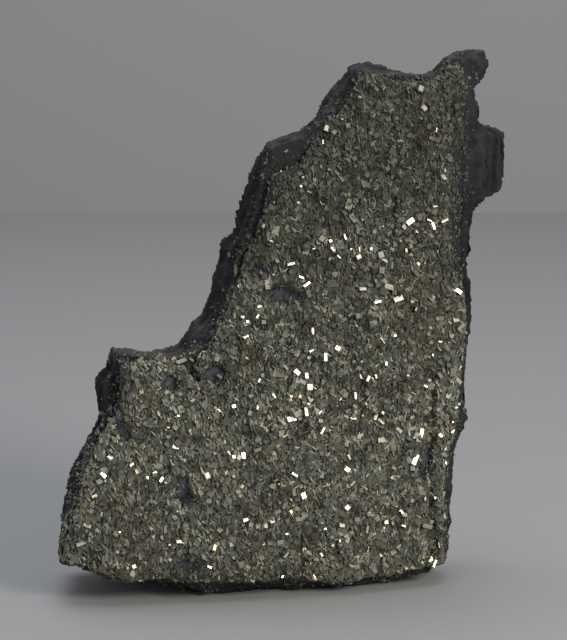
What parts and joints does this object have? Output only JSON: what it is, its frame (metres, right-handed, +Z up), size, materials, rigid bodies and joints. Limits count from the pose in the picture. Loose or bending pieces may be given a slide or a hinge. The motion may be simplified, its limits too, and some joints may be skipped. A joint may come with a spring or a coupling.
{
  "type": "pyrite specimen",
  "caption": "Upright broken slab of dark shale with its bowed front grown over by a crust of small pyrite crystals; display mineral specimen.",
  "frame": {"origin": "middle of the bounding box, on the surface that the specimen stands on", "axes": "+Z up the standing specimen, +X to the right as seen from the front, crystal face towards -Y"},
  "size_m": [0.138, 0.0458, 0.1616],
  "materials": {
    "shale": null,
    "pyrite": null
  },
  "bodies": {
    "root": {"shale_slab": "shale", "pyrite_crust": "pyrite"}
  },
  "joints": []
}
